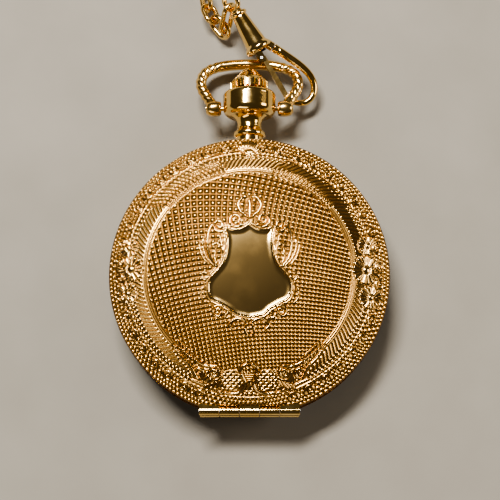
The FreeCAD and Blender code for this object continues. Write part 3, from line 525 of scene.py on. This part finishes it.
def worn(tree, bsdf, color_a, color_b, rough_a, rough_b, scratch=0.0006, stretch=(1, 1, 1)):
    """Cloudy wear between two colours and two roughnesses, with a fine bump scratch metres deep."""
    coords = add_node(tree, "ShaderNodeTexCoord")
    mapping = add_node(tree, "ShaderNodeMapping")
    mapping.inputs["Scale"].default_value = stretch
    tree.links.new(coords.outputs["Object"], mapping.inputs["Vector"])
    noise = add_node(tree, "ShaderNodeTexNoise", Scale=225.0, Detail=4.0)
    tree.links.new(mapping.outputs["Vector"], noise.inputs["Vector"])
    color = ramp(tree, noise.outputs["Fac"], [(0.35, color_a), (0.65, color_b)])
    tree.links.new(color, bsdf.inputs["Base Color"])
    rough = add_node(tree, "ShaderNodeMapRange")
    rough.inputs["To Min"].default_value = rough_a
    rough.inputs["To Max"].default_value = rough_b
    fine = add_node(tree, "ShaderNodeTexNoise", Scale=900.0, Detail=6.0)
    tree.links.new(mapping.outputs["Vector"], fine.inputs["Vector"])
    tree.links.new(fine.outputs["Fac"], rough.inputs["Value"])
    tree.links.new(rough.outputs["Result"], bsdf.inputs["Roughness"])
    if scratch:
        bump = add_node(tree, "ShaderNodeBump", Strength=0.25, Distance=scratch)
        tree.links.new(fine.outputs["Fac"], bump.inputs["Height"])
        tree.links.new(bump.outputs["Normal"], bsdf.inputs["Normal"])


def engraved_gold():
    """Gold that is bright on the raised engraving and brown in the cuts, from old dirt and from painted
    shade.
    """
    m, tree, bsdf = material("engraved_gold", (0.8, 0.6, 0.3), 1.0, 0.28)
    attribute = add_node(tree, "ShaderNodeAttribute", attribute_name="relief")
    height = add_node(tree, "ShaderNodeMapRange")
    height.inputs["From Min"].default_value = -0.02
    height.inputs["From Max"].default_value = 0.3
    tree.links.new(attribute.outputs["Fac"], height.inputs["Value"])
    coords = add_node(tree, "ShaderNodeTexCoord")
    noise = add_node(tree, "ShaderNodeTexNoise", Scale=220.0, Detail=5.0)
    tree.links.new(coords.outputs["Object"], noise.inputs["Vector"])
    add = add_node(tree, "ShaderNodeMath", operation="MULTIPLY_ADD")
    tree.links.new(noise.outputs["Fac"], add.inputs[0])
    add.inputs[1].default_value = 0.3
    tree.links.new(height.outputs["Result"], add.inputs[2])
    shifted = add_node(tree, "ShaderNodeMath", operation="SUBTRACT")
    tree.links.new(add.outputs[0], shifted.inputs[0])
    shifted.inputs[1].default_value = 0.15
    # Painted shade with old dirt: the lower the relief, the darker the colour, down to near black in the
    # cuts.
    color = ramp(tree, shifted.outputs[0], [
        (0.0, (0.06, 0.025, 0.007)), (0.3, (0.26, 0.13, 0.035)),
        (0.65, (0.66, 0.39, 0.13)), (1.0, (0.88, 0.60, 0.25))])
    tree.links.new(color, bsdf.inputs["Base Color"])
    rough = add_node(tree, "ShaderNodeMapRange")
    rough.inputs["To Min"].default_value = 0.42
    rough.inputs["To Max"].default_value = 0.12
    tree.links.new(shifted.outputs[0], rough.inputs["Value"])
    tree.links.new(rough.outputs["Result"], bsdf.inputs["Roughness"])
    return m


def worn_material(name, color_a, color_b, rough_a, rough_b, metallic=1.0, **wear):
    m, tree, bsdf = material(name, color_a, metallic)
    worn(tree, bsdf, color_a, color_b, rough_a, rough_b, **wear)
    return m


def ruby():
    stone, tree, bsdf = material("ruby", (0.62, 0.03, 0.12), 0.0, 0.08)
    worn(tree, bsdf, (0.55, 0.02, 0.10), (0.72, 0.05, 0.16), 0.06, 0.12, scratch=0)
    return stone


def watch_glass():
    glass, _, bsdf = material("watch_glass", (0.96, 0.98, 0.98), 0.0, 0.03)
    bsdf.inputs["Transmission Weight"].default_value = 1.0
    bsdf.inputs["IOR"].default_value = 1.2
    return glass


def build_materials():
    """One material for each of the record's slots."""
    return {
        "gold_cover": engraved_gold(),
        "gold_polished": worn_material(
            "polished_gold", (0.84, 0.55, 0.18), (0.93, 0.66, 0.27), 0.06, 0.18, scratch=0.00001),
        "gold_wire": worn_material(
            "worn_gold", (0.76, 0.48, 0.16), (0.92, 0.65, 0.27), 0.12, 0.28, scratch=0.00002),
        "steel": worn_material(
            "ground_steel", (0.60, 0.61, 0.63), (0.74, 0.75, 0.77), 0.2, 0.36, stretch=(1, 14, 1)),
        "spring_steel": worn_material(
            "blued_steel", (0.05, 0.08, 0.26), (0.11, 0.15, 0.42), 0.18, 0.3, scratch=0),
        "nickel": worn_material(
            "striped_nickel", (0.70, 0.69, 0.66), (0.82, 0.81, 0.78), 0.18, 0.32, stretch=(1, 5, 1)),
        "gilt": worn_material("gilt", (0.80, 0.62, 0.30), (0.90, 0.74, 0.44), 0.24, 0.36),
        "dial_white": worn_material(
            "enamel", (0.88, 0.87, 0.83), (0.92, 0.91, 0.87), 0.18, 0.24, metallic=0.0, scratch=0),
        "hand_blue": worn_material(
            "blued_hand", (0.04, 0.06, 0.22), (0.08, 0.11, 0.34), 0.15, 0.22, scratch=0),
        "marker_gold": worn_material(
            "marker_gold", (0.84, 0.62, 0.28), (0.92, 0.72, 0.38), 0.12, 0.2, scratch=0),
        "seal": worn_material(
            "seal", (0.03, 0.03, 0.03), (0.05, 0.05, 0.05), 0.6, 0.7, metallic=0.0, scratch=0),
        "ruby": ruby(),
        "glass": watch_glass(),
    }


def paint(obj, made, slot_name):
    """Gives the object the material of one of the record's slots."""
    obj.data.materials.clear()
    obj.data.materials.append(made[slot_name])
    return obj


# --- Bow: a rope-twisted ring, plain at its top ---
# The right half of the wire's middle line, from the lug to the top
BOW_ROUTE = [
    (6.2, 0.0), (6.85, 1.3), (7.75, 2.85), (8.5, 4.5), (8.65, 6.1), (8.05, 7.75), (6.5, 8.95), (3.7, 9.65),
    (0.0, 9.9),
]
BOW_PIVOT = (0.0, 30.2, 6.45)
BOW_DROOP = math.radians(20)
BOW_WIRE_R = 0.96


def sweep(name, line, radius, sides):
    """A closed bar along a line. radius(distance along, whole length, angle) shapes its section."""
    line = np.asarray(line, float)
    tangent = np.gradient(line, axis=0)
    tangent /= np.linalg.norm(tangent, axis=1)[:, None]
    up = np.cross(tangent[0], (0.13, 0.21, 0.97))
    length = np.concatenate([[0], np.cumsum(np.linalg.norm(np.diff(line, axis=0), axis=1))])
    angle = np.linspace(0, 2 * math.pi, sides, endpoint=False)
    verts = []
    for i, (p, t) in enumerate(zip(line, tangent)):
        up = up - t * (up @ t)
        up /= np.linalg.norm(up)
        side = np.cross(t, up)
        r = radius(length[i], length[-1], angle)
        verts.append(p + (np.cos(angle) * r)[:, None] * up + (np.sin(angle) * r)[:, None] * side)
    faces = tube_faces(len(line), sides, False)
    faces.append(list(range(sides))[::-1])
    last = (len(line) - 1) * sides
    faces.append(list(range(last, last + sides)))
    return make_mesh(name, np.vstack(verts), faces)


def bow_place(points):
    """From the bow's own plane to its drooped place on the pendant."""
    p = np.asarray(points, float)
    c, s = math.cos(BOW_DROOP), math.sin(BOW_DROOP)
    y = BOW_PIVOT[1] + p[:, 1] * c + p[:, 2] * s
    z = BOW_PIVOT[2] - p[:, 1] * s + p[:, 2] * c
    return np.stack([p[:, 0], y, z], -1)


def build_bow(made):
    half = np.array([(x, y, 0.0) for x, y in BOW_ROUTE])
    route = np.vstack([half * (-1, 1, 1), half[::-1][1:]])
    line = bow_place(rounded(route, 26))

    def radius(at, total, angle):
        from_lug = min(at / total, 1 - at / total)
        twist = smooth_step(from_lug, 0.03, 0.08) * smooth_step(from_lug, 0.37, 0.3)
        strands = np.abs(np.cos(1.5 * angle + at * 2.6))
        return BOW_WIRE_R - twist * 0.2 * (1 - strands ** 0.7)

    wire = paint(sweep("bow_wire", line, radius, 36), made, "gold_wire")
    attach(wire, "bow")
    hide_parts("bow")
    for side, side_name in ((-1, "left"), (1, "right")):
        profile = [
            (0.45, -1.3), (1.05, -1.3), (1.3, -1.0), (1.38, -0.4), (1.38, 0.3), (1.2, 0.95), (0.95, 1.3),
            (0.8, 1.3), (0.8, 0.95), (0.45, 0.95),
        ]
        n = 40
        verts = []
        for r, x in profile:
            for k in range(n):
                t = 2 * math.pi * k / n
                verts.append((side * (6.3 + x), r * math.cos(t), r * math.sin(t)))
        faces = tube_faces(len(profile), n, True)
        if side < 0:
            faces = [f[::-1] for f in faces]
        lug = paint(make_mesh(f"bow_lug_{side_name}", bow_place(verts), faces), made, "gold_wire")
        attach(lug, "bow")


def build_covers(made):
    """Both covers. Each is a middle, a border and three hinge knuckles, in place of the CAD cover."""
    n, rows, columns = ((288, 60, 1240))
    pieces = [
        (cover_field("front_cover_field", front_z, -1, relief, n), "front_cover"),
        (cover_border("front_cover_border", front_z, -1, FRONT_SEAM, relief, rows, columns), "front_cover"),
        (hinge_leaf("front_cover_hinge", FRONT_HINGE_Z, 1), "front_cover"),
        (cover_field("back_cover_field", back_z, 1, back_relief, n), "back_cover"),
        (cover_border("back_cover_border", back_z, 1, BACK_SEAM, back_relief, rows, columns), "back_cover"),
        (hinge_leaf("back_cover_hinge", BACK_HINGE_Z, -1), "back_cover"),
    ]
    for obj, body in pieces:
        plain = obj.name.endswith("hinge")
        paint(obj, made, "gold_polished" if plain else "gold_cover")
        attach(obj, body)
        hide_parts(body)


def paint_nodes(made):
    """Materials for the CAD nodes, with their edges kept sharp."""
    for entry in frame["record"]["subparts"]:
        obj = NODES[entry["node"]]
        paint(obj, made, entry["material_slot"])
        obj.data.polygons.foreach_set("use_smooth", [True] * len(obj.data.polygons))
        edges = obj.modifiers.new("edges", "EDGE_SPLIT")
        edges.split_angle = math.radians(28)


# --- Stage, camera, light ---
def build_stage():
    bpy.ops.mesh.primitive_plane_add(size=4, location=(0, 0, 0))
    floor = bpy.context.object
    floor.name = "table"
    m, tree, bsdf = material("table_card", (0.42, 0.40, 0.37), 0.0, 0.75)
    coords = add_node(tree, "ShaderNodeTexCoord")
    noise = add_node(tree, "ShaderNodeTexNoise", Scale=60.0, Detail=6.0)
    tree.links.new(coords.outputs["Object"], noise.inputs["Vector"])
    color = ramp(tree, noise.outputs["Fac"], [(0.3, (0.235, 0.218, 0.195)), (0.7, (0.265, 0.247, 0.223))])
    tree.links.new(color, bsdf.inputs["Base Color"])
    floor.data.materials.append(m)


def build_camera():
    lens, sensor, elevation = 100.0, 36.0, math.radians(79)
    view_width = 85.7192
    distance = view_width * lens / sensor
    target = Vector((0.09, 4.27, 9.0)) * MM
    camera_data = bpy.data.cameras.new("camera")
    camera_data.lens = lens
    camera_data.sensor_width = sensor
    camera_data.clip_start = 0.01
    camera = bpy.data.objects.new("camera", camera_data)
    bpy.context.scene.collection.objects.link(camera)
    camera.location = target + distance * MM * Vector((0, -math.cos(elevation), math.sin(elevation)))
    camera.rotation_euler = (target - camera.location).to_track_quat("-Z", "Y").to_euler()
    bpy.context.scene.camera = camera


def area_light(name, location, spread, power, color):
    """A soft rectangular light aimed at the watch. Its place and spread are in metres."""
    data = bpy.data.lights.new(name, "AREA")
    data.shape = "RECTANGLE"
    data.size, data.size_y = spread
    data.energy = power
    data.color = color
    light = bpy.data.objects.new(name, data)
    bpy.context.scene.collection.objects.link(light)
    light.location = location
    aim = Vector((0, 0, 0.005)) - Vector(location)
    light.rotation_euler = aim.to_track_quat("-Z", "Y").to_euler()


def build_light():
    bpy.context.scene.view_settings.look = "AgX - Medium High Contrast"
    world = bpy.data.worlds.new("room")
    bpy.context.scene.world = world
    world.use_nodes = True
    world.node_tree.nodes["Background"].inputs["Color"].default_value = (0.56, 0.50, 0.42, 1)
    world.node_tree.nodes["Background"].inputs["Strength"].default_value = 0.1
    area_light("window", (-0.12, 0.26, 0.54), (0.26, 0.09), 7.5, (1.0, 0.95, 0.84))
    area_light("right_fill", (0.5, 0.05, 0.25), (0.25, 0.2), 1.2, (1.0, 0.90, 0.75))
    area_light("low_front", (-0.25, -0.5, 0.25), (0.4, 0.15), 0.6, (1.0, 0.90, 0.75))


materials = build_materials()
paint_nodes(materials)
build_covers(materials)
build_bow(materials)
build_stage()
build_camera()
build_light()
